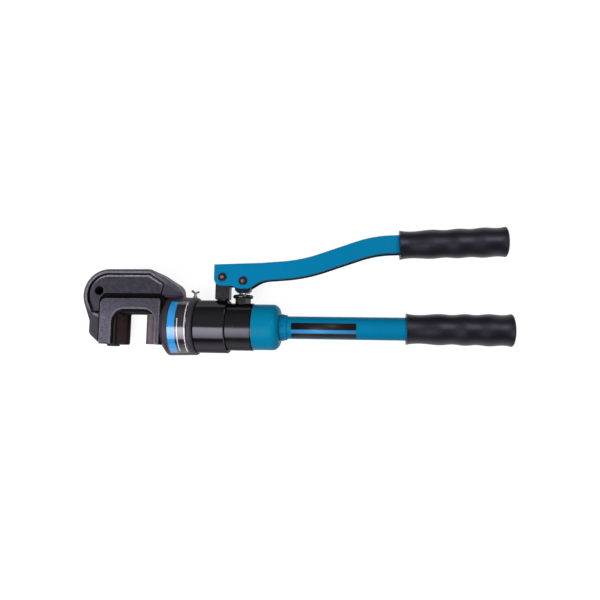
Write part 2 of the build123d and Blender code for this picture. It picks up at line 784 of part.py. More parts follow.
def outlet_plug():
    front = barrel_rear - PUMP_SPIGOT
    return ring_x(VALVE_THROAT_R, VALVE_POCKET_R - SEAT, front, front + VALVE_PLUG)


def outlet_spring():
    front = barrel_rear - PUMP_SPIGOT
    start = front + VALVE_PLUG + VALVE_WIRE + SEAT
    stand = math.sqrt(VALVE_BALL_R**2 - VALVE_THROAT_R**2)
    end = front + VALVE_POCKET - stand - VALVE_BALL_R - VALVE_WIRE - SEAT
    return coil(VALVE_POCKET_R - VALVE_COIL_ROOM, VALVE_WIRE, start, end, VALVE_TURNS)


def inlet_seat():
    return ring_x(VALVE_THROAT_R, INLET_SEAT_R, inlet_x + SEAT, pump_tail)


def inlet_ball():
    stand = math.sqrt(VALVE_BALL_R**2 - VALVE_THROAT_R**2)
    return Pos(inlet_x - stand, 0, 0) * Sphere(VALVE_BALL_R)


def suction_filter():
    end = pump_tail + FILTER_LENGTH
    outer = rod_x(INLET_SEAT_R, pump_tail + SEAT, end)
    return outer - rod_x(INLET_SEAT_R - FILTER_WALL, pump_tail - BEYOND, end - FILTER_WALL)


def gland_nut():
    thread = rod_y(GLAND_THREAD_R, GLAND_SEAT - GLAND_THREAD, GLAND_SEAT, plunger_x)
    hexagon = extrude(RegularPolygon(GLAND_HEX, 6), amount=GLAND_HEX_HIGH)
    nut = thread + Pos(plunger_x, GLAND_SEAT, 0) * Rot(-90, 0, 0) * hexagon
    rim = rod_y(GLAND_RIM_R, gland_top - GLAND_RIM, gland_top, plunger_x)
    rim = fillet(rim.edges().filter_by(GeomType.CIRCLE), GLAND_RIM / 2.4)
    return nut + rim - rod_y(PLUNGER_R + RUN, CHAMBER_FLOOR, gland_top + BEYOND, plunger_x)


def plunger_packing():
    low = GLAND_SEAT - GLAND_THREAD - PACKING_HIGH + SEAT
    high = GLAND_SEAT - GLAND_THREAD - SEAT
    ring = rod_y(GLAND_THREAD_R - SEAT, low, high, plunger_x)
    return ring - rod_y(PLUNGER_R + RUN, low - BEYOND, high + BEYOND, plunger_x)


# Fulcrum, plunger and lever


def fulcrum_block():
    """Flat eye on a round neck, screwed into the barrel by its stud."""
    half = BLOCK_WIDE / 2
    deep = lever_inner - APART
    block = slab((fulcrum_x - half, block_low, -deep), (fulcrum_x + half, FULCRUM_PIN_Y, deep))
    base = block.faces().sort_by(Axis.Y)[0]
    block = chamfer(base.edges(), BLOCK_EDGE)
    block += rod_z(half, -deep, deep, fulcrum_x, FULCRUM_PIN_Y)
    block += rod_y(NECK_R, neck_seat, block_low + BLOCK_EDGE, fulcrum_x)
    block += rod_y(STUD_POST_R, neck_seat - STUD_POST, neck_seat, fulcrum_x)
    return block - rod_z(PIN_R + RUN, -BEYOND, BEYOND, fulcrum_x, FULCRUM_PIN_Y)


def pump_plunger():
    half = EYE_WIDE / 2
    eye = slab(
        (plunger_x - half, EYE_LOW, -EYE_HALF),
        (plunger_x + half, plunger_pin_y + EYE_TOP, EYE_HALF),
    )
    corners = eye.edges().filter_by(Axis.Z).sort_by(Axis.Y)
    eye = chamfer(corners[:2], EYE_CHAMFER)
    eye = fillet(eye.edges().filter_by(Axis.Z).sort_by(Axis.Y)[-2:], EYE_ROUND)
    rod = rod_y(PLUNGER_R, PLUNGER_LOW, EYE_LOW + EYE_TOP / 4, plunger_x)
    slot_high = 2 * (PIN_R + EYE_PLAY)
    slot = SlotOverall(slot_high + 2 * EYE_TRAVEL, slot_high)
    slot_at = Pos(plunger_x, plunger_pin_y + EYE_LIFT, 0)
    return eye + rod - slot_at * extrude(slot, amount=BEYOND, both=True)


def arm_line():
    """Centre line of the lever from behind the pins to the upper grip."""
    start = Vector(pin_x + ARM_START, ARM_START_Y)
    flat = PolarLine(start, ARM_FLAT, ARM_FIRST)
    bend_1 = JernArc(flat @ 1, flat % 1, ARM_BEND_1, ARM_CLIMB - ARM_FIRST)
    ramp = PolarLine(bend_1 @ 1, ARM_RAMP, ARM_CLIMB)
    bend_2 = JernArc(ramp @ 1, ramp % 1, ARM_BEND_2, ARM_LAST - ARM_CLIMB)
    tail = PolarLine(bend_2 @ 1, ARM_TAIL, ARM_LAST)
    return Curve() + [flat, bend_1, ramp, bend_2, tail]


def lever_outline():
    """Side view of the lever arm: cheeks with a lobe round the plunger pin, then the bent arm."""
    arm = trace(arm_line(), line_width=LEVER_DEEP)
    start = Vector(pin_x + ARM_START, ARM_START_Y)
    normal = Vector(0, LEVER_DEEP / 2).rotate(Axis.Z, ARM_FIRST)
    top = start + normal
    under = start - normal
    front_x = fulcrum_x - LEVER_FRONT
    lobe_y = plunger_pin_y - LOBE_LOW
    rise = (pin_x - LOBE_RISE, LEVER_FRONT_LOW)
    lobe_in = (pin_x - LOBE_FRONT, lobe_y)
    lobe_out = (pin_x + LOBE_REAR, lobe_y)
    front_low = (front_x, LEVER_FRONT_LOW)
    front_top = (front_x, LEVER_FRONT_TOP)
    points = [front_low, front_top, (top.X, top.Y), (under.X, under.Y), lobe_out, lobe_in, rise]
    face = make_face(Polyline(*points, close=True)) + arm
    rounds = [
        (front_low, LEVER_CORNER),
        (rise, LOBE_BLEND),
        (lobe_in, LOBE_ROUND),
        (lobe_out, LOBE_ROUND),
        ((under.X, under.Y), LOBE_SWEEP),
    ]
    for point, radius in rounds:
        face = fillet(face.vertices().sort_by_distance(point + (0,))[0], radius)
    return face


def lever_arm():
    outline = lever_outline()
    arm = extrude(outline, amount=LEVER_HALF, both=True)
    cheeks = arm.faces().sort_by(Axis.Z)
    arm = fillet(cheeks[0].edges() + cheeks[-1].edges(), LEVER_EDGE)
    inside = Pos(0, -LEVER_WALL, 0) * extrude(outline, amount=lever_inner, both=True)
    arm -= inside
    front_x = fulcrum_x - LEVER_FRONT
    mouth = slab(
        (front_x - BEYOND, LEVER_FRONT_LOW - BEYOND, -lever_inner),
        (fulcrum_x, LEVER_FRONT_TOP - LEVER_WALL, lever_inner),
    )
    arm -= mouth
    tail = slab(
        (-ARM_TAIL / 2, -LEVER_DEEP, -lever_inner),
        (BEYOND, LEVER_DEEP / 2 - LEVER_WALL, lever_inner),
    )
    end = arm_end()
    arm -= Pos(end.X, end.Y, 0) * Rot(0, 0, ARM_LAST) * tail
    for x, y in lever_pins():
        arm -= rod_z(PIN_R + SEAT, -LEVER_HALF - BEYOND, LEVER_HALF + BEYOND, x, y)
    return arm


def lever_pins():
    return [(fulcrum_x, FULCRUM_PIN_Y), (pin_x, plunger_pin_y)]


def lever_pin(place):
    end = LEVER_HALF + PIN_OUT
    pin = rod_z(PIN_R, -end, end, *place)
    groove_low = LEVER_HALF + SEAT
    groove = rod_z(PIN_R + BEYOND, groove_low, groove_low + CLIP_THICK, *place)
    groove -= rod_z(PIN_R - CLIP_SINK, groove_low, groove_low + CLIP_THICK, *place)
    return pin - both_sides(groove)


def retaining_clips():
    low = LEVER_HALF + SEAT
    clips = []
    for x, y in lever_pins():
        ring = rod_z(CLIP_R, low, low + CLIP_THICK, x, y)
        ring -= rod_z(PIN_R - CLIP_SINK + SEAT, low, low + CLIP_THICK, x, y)
        gap = slab(
            (x - CLIP_GAP / 2, y - CLIP_R - BEYOND, low - SEAT),
            (x + CLIP_GAP / 2, y, low + CLIP_THICK + SEAT),
        )
        clips += [ring - gap, mirror(ring - gap, about=Plane.XY)]
    return Compound(children=clips)


def arm_end():
    line = arm_line()
    last = line.edges().sort_by(Axis.X)[-1]
    return last @ 1


def grip_profile(length, radius, plain, tail):
    """Half section of a moulded grip along X: flared mouth, throat, finger waves that swell to the end."""
    pitch = (length - plain - tail) / GRIP_WAVES
    first = plain + pitch / 2
    end = length - GRIP_ROUND
    stations = [first + pitch * step / 2 for step in range(2 * GRIP_WAVES)]
    stations = [x for x in stations if x < end - pitch / 4] + [end]
    points = [(0, radius + GRIP_FLARE), (plain * GRIP_THROAT, radius - GRIP_NECK)]
    for x in stations:
        turns = (x - first) / pitch
        points.append((x, radius + GRIP_GROW * turns + GRIP_WAVE * math.cos(2 * math.pi * turns)))
    return points


def grip(points, bore):
    skin = Spline(*points)
    end = points[-1]
    length = end[0] + GRIP_ROUND
    corner = (length, end[1] - GRIP_ROUND)
    edges = Curve() + [
        skin,
        arc_about((end[0], corner[1]), end, corner),
        Line(corner, (length, 0)),
        Line((length, 0), (0, 0)),
        Line((0, 0), points[0]),
    ]
    solid = revolve(make_face(edges), Axis.X)
    return solid - rod_x(bore, -BEYOND, length - GRIP_END)


def lever_stub():
    """Round bar in the upper grip, milled flat where it sits in the channel of the arm."""
    end = arm_end()
    channel = slab(
        (-STUB_SUNK, -LEVER_DEEP, SEAT - lever_inner),
        (0, LEVER_DEEP / 2 - LEVER_WALL - SEAT, lever_inner - SEAT),
    )
    bar = rod_x(STUB_R, -STUB_SUNK, 0) & channel
    bar += rod_x(STUB_R, 0, UPPER_GRIP_LENGTH - STUB_SHORT)
    return Pos(end.X, end.Y, 0) * Rot(0, 0, ARM_LAST) * bar


def upper_grip():
    end = arm_end()
    points = grip_profile(UPPER_GRIP_LENGTH, UPPER_GRIP_R, UPPER_GRIP_PLAIN, UPPER_GRIP_TAIL)
    piece = grip(points, STUB_R + SEAT)
    return Pos(end.X, end.Y, 0) * Rot(0, 0, ARM_LAST) * (Pos(SEAT, 0, 0) * piece)


# Handle


def end_cap():
    cap = rod_x(CAP_R, pump_rear + SEAT, cap_rear)
    back = cap.edges().filter_by(GeomType.CIRCLE).sort_by(Axis.X)[-1]
    cap = fillet(back, CAP_ROUND)
    cap -= rod_x(PUMP_TAIL_R + SEAT, pump_rear - BEYOND, cap_rear - CAP_ROUND - CAP_WALL)
    return cap - rod_x(TUBE_R + SEAT, pump_rear, cap_rear + BEYOND)


def neck_nut():
    half = cap_rear + NUT_LENGTH / 2
    nut = rod_x(NUT_R, cap_rear + SEAT, half) + rod_x(NUT_STEP_R, half, nut_rear)
    rims = nut.edges().filter_by(GeomType.CIRCLE).sort_by(Axis.X)
    nut = chamfer(rims[-1], (NUT_STEP_R - TUBE_R) / 2)
    return nut - rod_x(TUBE_R + SEAT, cap_rear - BEYOND, nut_rear + BEYOND)


def handle_tube():
    return ring_x(TUBE_R - TUBE_WALL, TUBE_R, cap_rear - TUBE_SUNK, tube_rear)


def oil_bladder():
    outer = TUBE_R - TUBE_WALL - APART
    start = cap_rear - TUBE_SUNK / 2
    bag = rod_x(outer, start, start + BLADDER_LENGTH)
    bag = fillet(bag.edges().filter_by(GeomType.CIRCLE).sort_by(Axis.X)[-1], outer * BLADDER_ROUND)
    inner = outer - BLADDER_WALL
    hollow = rod_x(inner, start - BEYOND, start + BLADDER_LENGTH - BLADDER_WALL)
    hollow = fillet(hollow.edges().filter_by(GeomType.CIRCLE).sort_by(Axis.X)[-1], inner * BLADDER_ROUND)
    return bag - hollow


def tube_plug():
    return rod_x(TUBE_R - TUBE_WALL - SEAT, tube_rear - PLUG_LENGTH, tube_rear)


def lower_grip():
    points = grip_profile(GRIP_LENGTH, GRIP_R, GRIP_PLAIN, GRIP_TAIL)
    return Pos(grip_front, 0, 0) * grip(points, TUBE_R + SEAT)


def head_lock_screw():
    """Wing screw through the collar; its tip stands just off the spigot."""
    end = SPIGOT_R + RUN
    screw = rod_y(WING_R, end, COLLAR_R + WING_R / 2, 0)
    screw += rod_y(WING_STEM_R, end, COLLAR_R + WING_STEM, 0)
    base = COLLAR_R + WING_STEM
    root = (0, base - WING_ROOT)
    under = (WING_SPAN * WING_BELLY, base + WING_HIGH * WING_WAIST)
    outer = (WING_SPAN, base + WING_HIGH * WING_CHEEK)
    tip = (WING_SPAN * WING_TIP, base + WING_HIGH)
    dip = (WING_SPAN / 2, base + WING_HIGH * WING_CHEEK)
    middle = (0, base + WING_HIGH * WING_WAIST)
    ear = Curve() + [
        Line(root, under),
        ThreePointArc(under, outer, tip),
        ThreePointArc(tip, dip, middle),
        Line(middle, root),
    ]
    right = extrude(make_face(ear), amount=WING_THICK / 2, both=True)
    wings = right + mirror(right, about=Plane.YZ)
    return Pos(wing_x, 0, 0) * Rot(0, WING_TURN, 0) * (screw + wings)


PIECES = {
    "head_casting": head_casting(),
    "fixed_blade": fixed_blade(),
    "fixed_blade_screw": fixed_blade_screw(),
    "blade_stop_screw": blade_stop_screw(),
    "rod_wiper": rod_wiper(),
    "head_lock_screw": head_lock_screw(),
    "ram": ram(),
    "moving_blade": moving_blade(),
    "piston_seal": piston_seal(),
    "piston_guide_ring": piston_guide_ring(),
    "spring_anchor": spring_anchor(),
    "return_spring": return_spring(),
    "spring_stud": spring_stud(),
    "cylinder_barrel": cylinder_barrel(),
    "head_retaining_ring": head_retaining_ring(),
    "pump_body": pump_body(),
    "pump_seal": pump_seal(),
    "cap_seal": cap_seal(),
    "outlet_ball": outlet_ball(),
    "outlet_spring": outlet_spring(),
    "outlet_plug": outlet_plug(),
    "inlet_ball": inlet_ball(),
    "inlet_seat": inlet_seat(),
    "suction_filter": suction_filter(),
    "release_screw": release_screw(),
    "gland_nut": gland_nut(),
    "plunger_packing": plunger_packing(),
    "pump_plunger": pump_plunger(),
    "fulcrum_block": fulcrum_block(),
    "fulcrum_pin": lever_pin(lever_pins()[0]),
    "plunger_pin": lever_pin(lever_pins()[1]),
    "retaining_clips": retaining_clips(),
    "lever_arm": lever_arm(),
    "lever_stub": lever_stub(),
    "upper_grip": upper_grip(),
    "end_cap": end_cap(),
    "neck_nut": neck_nut(),
    "handle_tube": handle_tube(),
    "oil_bladder": oil_bladder(),
    "tube_plug": tube_plug(),
    "lower_grip": lower_grip(),
}

os.makedirs("parts", exist_ok=True)
for name, piece in PIECES.items():
    piece.label = name
    export_step(piece, os.path.join("parts", name + ".step"))
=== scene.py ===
"""Hydraulic rebar cutter: materials, printed films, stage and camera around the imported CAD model."""

import json
import math

import bpy
from mathutils import Matrix, Vector


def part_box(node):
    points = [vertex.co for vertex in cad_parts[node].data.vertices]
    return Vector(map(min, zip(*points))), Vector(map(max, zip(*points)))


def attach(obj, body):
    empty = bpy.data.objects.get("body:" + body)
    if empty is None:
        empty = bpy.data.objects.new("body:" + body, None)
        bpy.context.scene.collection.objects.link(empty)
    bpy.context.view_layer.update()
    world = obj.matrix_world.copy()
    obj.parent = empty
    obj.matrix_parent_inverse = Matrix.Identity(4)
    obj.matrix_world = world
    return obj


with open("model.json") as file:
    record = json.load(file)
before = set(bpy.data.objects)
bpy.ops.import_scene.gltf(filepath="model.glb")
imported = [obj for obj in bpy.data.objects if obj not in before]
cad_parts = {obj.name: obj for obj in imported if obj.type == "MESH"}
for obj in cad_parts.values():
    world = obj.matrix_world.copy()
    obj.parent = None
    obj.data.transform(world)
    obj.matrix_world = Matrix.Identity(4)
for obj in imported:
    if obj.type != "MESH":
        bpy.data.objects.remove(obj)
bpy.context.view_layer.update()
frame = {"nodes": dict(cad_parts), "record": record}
NODES = frame["nodes"]
MM = 0.001
WHITE = (1.0, 1.0, 1.0, 1.0)

# Camera of the photograph
CAMERA_AIM = Vector((0.21472, 0.0328, 0.0))
CAMERA_DISTANCE = 0.6608
CAMERA_YAW = math.radians(6.0)
CAMERA_DROP = math.radians(6.0)
CAMERA_ROLL = math.radians(1.09)
CAMERA_LENS = 33.6
CAMERA_SENSOR = 36.0
CAMERA_NEAR = 0.01


def add_object(name, data):
    item = bpy.data.objects.new(name, data)
    bpy.context.scene.collection.objects.link(item)
    return item


def make_camera():
    data = bpy.data.cameras.new("photo_camera")
    data.lens = CAMERA_LENS
    data.sensor_width = CAMERA_SENSOR
    data.clip_start = CAMERA_NEAR
    camera = add_object("photo_camera", data)
    back = Vector(
        (
            math.sin(CAMERA_YAW) * math.cos(CAMERA_DROP),
            -math.sin(CAMERA_DROP),
            math.cos(CAMERA_YAW) * math.cos(CAMERA_DROP),
        )
    )
    level = Vector((math.cos(CAMERA_YAW), 0.0, -math.sin(CAMERA_YAW)))
    above = back.cross(level)
    right = level * math.cos(CAMERA_ROLL) + above * math.sin(CAMERA_ROLL)
    up = above * math.cos(CAMERA_ROLL) - level * math.sin(CAMERA_ROLL)
    turn = Matrix((right, up, back)).transposed().to_4x4()
    camera.matrix_world = Matrix.Translation(CAMERA_AIM + back * CAMERA_DISTANCE) @ turn
    bpy.context.scene.camera = camera


class Graph:
    """Short way to write the nodes of a material, a lamp or the world."""

    def __init__(self, tree):
        self.nodes = tree.nodes
        self.links = tree.links

    def math(self, kind, first, second=0.0):
        node = self.nodes.new("ShaderNodeMath")
        node.operation = kind
        for socket, value in zip(node.inputs, (first, second)):
            if hasattr(value, "is_linked"):
                self.links.new(value, socket)
            else:
                socket.default_value = value
        return node.outputs["Value"]

    def chain(self, kind, first, *others):
        for other in others:
            first = self.math(kind, first, other)
        return first

    def most(self, *values):
        return self.chain("MAXIMUM", *values)

    def product(self, *values):
        return self.chain("MULTIPLY", *values)

    def total(self, *values):
        return self.chain("ADD", *values)

    def less(self, first, second):
        return self.math("SUBTRACT", first, second)

    def without(self, mask):
        return self.less(1.0, mask)

    def split(self, vector):
        node = self.nodes.new("ShaderNodeSeparateXYZ")
        self.links.new(vector, node.inputs[0])
        return node.outputs

    def span(self, value, low, high, to_low=0.0, to_high=1.0):
        """Straight ramp from one range to another, held at its ends."""
        node = self.nodes.new("ShaderNodeMapRange")
        ends = {"From Min": low, "From Max": high, "To Min": to_low, "To Max": to_high}
        for key, number in ends.items():
            node.inputs[key].default_value = number
        self.links.new(value, node.inputs["Value"])
        return node.outputs["Result"]

    def seen(self):
        """1 for what the camera sees, directly, mirrored or through glass."""
        path = self.nodes.new("ShaderNodeLightPath").outputs
        return self.most(path["Is Camera Ray"], path["Is Glossy Ray"], path["Is Transmission Ray"])


class Net(Graph):
    """Nodes of a Principled material; every texture reads object coordinates, in metres."""

    def __init__(self, name):
        self.material = bpy.data.materials.new(name)
        self.material.use_nodes = True
        super().__init__(self.material.node_tree)
        self.shader = self.nodes["Principled BSDF"]
        coordinates = self.nodes.new("ShaderNodeTexCoord").outputs
        self.place = coordinates["Object"]
        self.facing = coordinates["Normal"]
        self.x, self.y, self.z = self.split(self.place)

    def stretched(self, scale):
        node = self.nodes.new("ShaderNodeMapping")
        node.inputs["Scale"].default_value = scale
        self.links.new(self.place, node.inputs["Vector"])
        return node.outputs["Vector"]

    def noise(self, scale, detail=2.0, rough=0.5, place=None):
        node = self.nodes.new("ShaderNodeTexNoise")
        node.inputs["Scale"].default_value = scale
        node.inputs["Detail"].default_value = detail
        node.inputs["Roughness"].default_value = rough
        self.links.new(place or self.place, node.inputs["Vector"])
        return node.outputs["Fac"]

    def above(self, value, limit, soft):
        """1 above a limit and 0 below it, with an edge of the given softness."""
        return self.span(value, limit - soft, limit + soft)

    def below(self, value, limit, soft):
        return self.span(value, limit - soft, limit + soft, 1.0, 0.0)

    def between(self, value, low, high, soft):
        return self.product(self.above(value, low, soft), self.below(value, high, soft))

    def inside(self, low, high, soft):
        """1 inside a box given by two corners in metres; None leaves a side open."""
        steps = []
        for value, bottom, top in zip((self.x, self.y, self.z), low, high):
            if bottom is not None:
                steps.append(self.above(value, bottom, soft))
            if top is not None:
                steps.append(self.below(value, top, soft))
        return self.product(*steps)

    def from_axis(self, x, y):
        """Distance from the line along Z through a point."""
        dx = self.less(self.x, x)
        dy = self.less(self.y, y)
        return self.math("SQRT", self.total(self.product(dx, dx), self.product(dy, dy)))

    def mix(self, amount, first, second):
        node = self.nodes.new("ShaderNodeMix")
        node.data_type = "RGBA"
        self.links.new(amount, node.inputs["Factor"])
        for key, value in (("A", first), ("B", second)):
            socket = [s for s in node.inputs if s.name == key and s.type == "RGBA"][0]
            if hasattr(value, "is_linked"):
                self.links.new(value, socket)
            else:
                socket.default_value = tuple(value) + (1.0,)
        return [s for s in node.outputs if s.type == "RGBA"][0]

    def bump(self, height, strength, depth, under=None):
        node = self.nodes.new("ShaderNodeBump")
        node.inputs["Strength"].default_value = strength
        node.inputs["Distance"].default_value = depth
        self.links.new(height, node.inputs["Height"])
        if under is not None:
            self.links.new(under, node.inputs["Normal"])
        return node.outputs["Normal"]

    def surface(self, colour, rough, normal=None, **uniform):
        """Link what varies over the surface, set what is the same all over, and give the material."""
        self.links.new(colour, self.shader.inputs["Base Color"])
        self.links.new(rough, self.shader.inputs["Roughness"])
        if normal is not None:
            self.links.new(normal, self.shader.inputs["Normal"])
        for key, value in uniform.items():
            self.shader.inputs[key.replace("_", " ")].default_value = value
        return self.material


# What a noise mostly fills of its range, and the narrower part that makes stains
NOISE_RANGE = (0.3, 0.7)
STAIN_RANGE = (0.35, 0.65)

# Softness of the edges between two colours, in metres
CRISP = 0.0002
CLEAN = 0.0003
SOFT = 0.0004
SOFTER = 0.0005
WORN_OFF = 0.0006

# Places on the head casting, in metres: the beam and the rim round its raised field
BEAM_TOP = 0.0655
BEAM_FACE = 0.0250
FACE_RISE = (BEAM_FACE - 0.0004, BEAM_FACE - 0.0001)
STEP_FLOOR = 0.0190
STEP_DEPTH = (STEP_FLOOR - 0.0006, BEAM_FACE - 0.0007)
STEP_RIM = (0.0003, 0.0006)
STEP_END = 0.0605
RIM = 0.0052
RIM_BAND = (0.0001, 0.0026)
RUBBED_RISE = (STEP_FLOOR + 0.0012, STEP_FLOOR + 0.0016)
FIELD_LINE = (-0.0040, -0.0024)
LINE_RISE = (0.0236, 0.0240)
LINE_FADE = (0.0400, 0.0520)
NOSE = (-0.0102, 0.0345)
NOSE_R = 0.0310
NOSE_END = 0.0001
NOSE_PALE = (-0.0300, -0.0120)
SHOULDER_X = 0.0407
TAIL = (0.0645, 0.0508)
HANG_HOLE = (-0.0214, 0.0394)
HANG_R = 0.00525

# Jaw plate, blade slot and collar
COLLAR_FRONT = 0.0545
HEEL = (0.0470, 0.0362)
GUSSET = (0.0537, 0.0358)
PLATE_FACE = 0.0280
PLATE_RISE = (PLATE_FACE - 0.0012, PLATE_FACE - 0.0008)
PLATE_X = (-0.0180, 0.0545)
PLATE_Y = (0.0040, 0.0270)
TRIM_RISE = (PLATE_FACE - 0.0016, PLATE_FACE - 0.0012)
TRIM_LEFT = (PLATE_X[0] + 0.0002, PLATE_X[0] + 0.0014)
TRIM_RIGHT = (PLATE_X[1] - 0.0016, PLATE_X[1] - 0.0004)
SLOT = ((-0.0135, None, -0.0275), (0.0495, 0.0186, 0.0262))
ARCH = ((-0.0064, None, 0.0255), (0.0514, 0.0205, None))
LEDGE = ((-0.0043, None, 0.0178), (-0.0019, 0.0150, 0.0191))
REAR_WALL = ((-0.0050, None, -0.0290), (-0.0008, 0.0150, -0.0235))
OPEN = (None, None, None)

# How steep a face is (as the size of its normal's Z), where edges are rubbed, and which way up, where
# slopes that face up get a painted highlight
SLANT = (0.22, 0.955)
SLANT_SOFT = 0.03
LIT_TURN = (-0.10, 0.35)
LIT_SHARE = (0.15, 0.75)
ARCH_SHARE = 0.70

# Colours of the casting; a pair is a darker and a lighter shade
CAST = ((0.0250, 0.0231, 0.0290), (0.0440, 0.0408, 0.0500))
# painted shade, for the casting's recesses
CAST_PAINTED_SHADE = (0.0045, 0.0039, 0.0050)
# painted highlight along the inner edge of the rim
CAST_RIM_HIGHLIGHT = (0.2050, 0.1950, 0.2180)
CAST_HEEL = (0.1080, 0.0990, 0.1150)
# paler jaw plate, which painted light makes palest low down and towards the nose
CAST_PLATE_LIT = (0.1300, 0.1160, 0.1490)
CAST_COLLAR = (0.0370, 0.0330, 0.0370)
# rubbed edges, which also carry a painted highlight where they face up
CAST_RUBBED_AND_LIT = (0.2100, 0.1980, 0.2150)
# painted highlight line along the raised field's edge
CAST_HIGHLIGHT_LINE = (0.4000, 0.3800, 0.4100)
CAST_GUSSET = (0.0620, 0.0560, 0.0690)
CAST_LEDGE = (0.0480, 0.0450, 0.0420)
CAST_RUST = (0.0400, 0.0200, 0.0215)
CAST_ROUGH = (0.45, 0.55)
DARK_ROUGHER = 0.42
CAST_GLOSS = 0.18


def outside_field(net):
    """How far a point lies outside the field that the rim of the beam frames; negative inside it."""
    ring = net.less(net.from_axis(*NOSE), NOSE_R - RIM)
    crown = net.less(net.y, BEAM_TOP - RIM)
    run = Vector((TAIL[0] - SHOULDER_X, TAIL[1] - BEAM_TOP)).normalized()
    along = net.product(net.less(net.x, TAIL[0]), -run.y)
    across = net.product(net.less(net.y, TAIL[1]), run.x)
    slope = net.total(along, across, RIM)
    behind = net.above(net.x, NOSE[0], NOSE_END)
    flat = net.product(net.most(crown, slope), behind)
    return net.total(flat, net.product(ring, net.without(behind)))


def cast_black():
    """Black lacquer on a sand casting, rubbed pale on raised faces and edges, with painted shade in its
    recesses and painted highlights on its rim, its field's edge and the slopes that face up.
    """
    net = Net("cast_black")
    depth = net.math("ABSOLUTE", net.z)
    facing = net.split(net.facing)
    level = net.math("ABSOLUTE", facing[2])
    slant = net.between(level, *SLANT, SLANT_SOFT)
    field = outside_field(net)
    blotch = net.span(net.noise(210.0, detail=4.0, rough=0.65), 0.36, 0.64)
    worn = net.span(net.noise(320.0, detail=3.0, rough=0.6), 0.30, 0.62, 0.35, 1.0)
    collar = net.above(net.x, COLLAR_FRONT, SOFTER)
    off_collar = net.without(collar)

    # lacquer, paler round the nose, on the collar and on the gusset in front of it
    colour = net.mix(blotch, *CAST)
    colour = net.mix(net.span(net.x, *NOSE_PALE, 0.5, 0.0), colour, CAST_GUSSET)
    colour = net.mix(net.product(collar, worn), colour, CAST_COLLAR)
    colour = net.mix(net.inside(GUSSET + (None,), OPEN, SOFT), colour, CAST_GUSSET)

    # rim of the beam with a painted highlight along its inner edge, its heel over the collar, and the
    # paler jaw plate, with painted light that fades upwards and backwards
    rim = net.product(net.span(depth, *FACE_RISE), net.between(field, *RIM_BAND, CLEAN))
    colour = net.mix(net.product(rim, off_collar, worn), colour, CAST_RIM_HIGHLIGHT)
    heel = net.product(net.inside(HEEL + (None,), OPEN, WORN_OFF), net.above(field, 0.0, SOFT), worn)
    colour = net.mix(heel, colour, CAST_HEEL)
    plate = net.product(net.span(depth, *PLATE_RISE), worn, off_collar)
    # painted light on the jaw plate: it fades backwards and upwards
    backwards = net.span(net.x, *PLATE_X, 1.0, 0.42)
    upwards = net.span(net.y, *PLATE_Y, 1.0, 0.45)
    colour = net.mix(net.product(plate, backwards, upwards), colour, CAST_PLATE_LIT)
    sides = net.most(net.between(net.x, *TRIM_LEFT, CLEAN), net.between(net.x, *TRIM_RIGHT, CLEAN))
    trim = net.product(net.span(depth, *TRIM_RISE), sides, worn)
    trim = net.product(trim, net.span(net.y, PLATE_Y[1] - SOFT, PLATE_Y[1] + SOFT, 0.45, 0.0))
    colour = net.mix(trim, colour, CAST_RUBBED_AND_LIT)

    # painted shade in the groove inside the rim, in the blade slot and in the hang hole
    sunk = net.product(net.between(depth, *STEP_DEPTH, CRISP), net.without(slant))
    sunk = net.product(sunk, net.span(field, *STEP_RIM, 1.0, 0.0), net.below(net.x, STEP_END, SOFT))
    hole = net.span(net.from_axis(*HANG_HOLE), HANG_R, HANG_R + CLEAN, 1.0, 0.0)
    dark = net.most(sunk, net.inside(*SLOT, SOFT), hole)
    colour = net.mix(dark, colour, CAST_PAINTED_SHADE)

    # slopes of the raised field, rubbed and with a painted highlight where they face up, the rubbed
    # arch, and a painted highlight line along the field's edge
    lit = net.span(facing[1], *LIT_TURN, *LIT_SHARE)
    near = net.product(net.span(depth, *RUBBED_RISE), lit)
    arch = net.product(net.inside(*ARCH, CLEAN), ARCH_SHARE)
    edge = net.product(slant, worn, off_collar, net.total(near, arch))
    colour = net.mix(edge, colour, CAST_RUBBED_AND_LIT)
    line = net.product(net.between(field, *FIELD_LINE, CLEAN), net.span(depth, *LINE_RISE), worn)
    line = net.product(line, net.span(net.y, *LINE_FADE, 0.0, 0.80), off_collar)
    colour = net.mix(line, colour, CAST_HIGHLIGHT_LINE)

    # bare ledge and rusty rear wall of the blade slot
    colour = net.mix(net.product(net.inside(*LEDGE, CRISP), level), colour, CAST_LEDGE)
    colour = net.mix(net.inside(*REAR_WALL, CRISP), colour, CAST_RUST)

    rough = net.span(net.noise(60.0, detail=3.0), *NOISE_RANGE, *CAST_ROUGH)
    rough = net.total(rough, net.product(dark, DARK_ROUGHER))
    lumps = net.bump(net.noise(240.0), strength=0.10, depth=0.0006)
    grain = net.noise(1500.0, detail=3.0, rough=0.6)
    normal = net.bump(grain, strength=0.32, depth=0.0003, under=lumps)
    return net.surface(colour, rough, normal, Specular_IOR_Level=CAST_GLOSS)


# Lines of turning, as noise stretched round the X or the Y axis
LINES_X = (2600.0, 18.0, 18.0)
LINES_Y = (18.0, 2600.0, 18.0)
BLACKENED_TINT = (0.42, 0.42, 0.42, 1.0)


def turned_black(name, lines, shades, rough):
    """Blackened and polished steel, with faint lines round the axis of turning."""
    net = Net(name)
    turning = net.noise(1.0, rough=0.6, place=net.stretched(lines))
    cloud = net.noise(70.0, detail=3.0)
    return net.surface(
        net.mix(cloud, *shades),
        net.span(cloud, *NOISE_RANGE, rough, rough + 0.03),
        net.bump(turning, strength=0.05, depth=0.0001),
        Metallic=0.90,
        Specular_Tint=BLACKENED_TINT,
    )


LEVER_WALL = 0.0025
LEVER_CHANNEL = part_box("lever_arm")[1][2] - LEVER_WALL
# Painted shade: inside the lever's channel and on its under side, and a milder one on faces that look
# up
BLUE_SHADE = (0.0008, 0.0110, 0.0200)
BLUE_UPPER_SHADE = (0.0008, 0.0850, 0.1650)
# how far a face looks up, at which it counts as an upper or an under side
UPPER_SIDE = (0.25, 0.70)
UNDER_SIDE = (-0.80, -0.45)


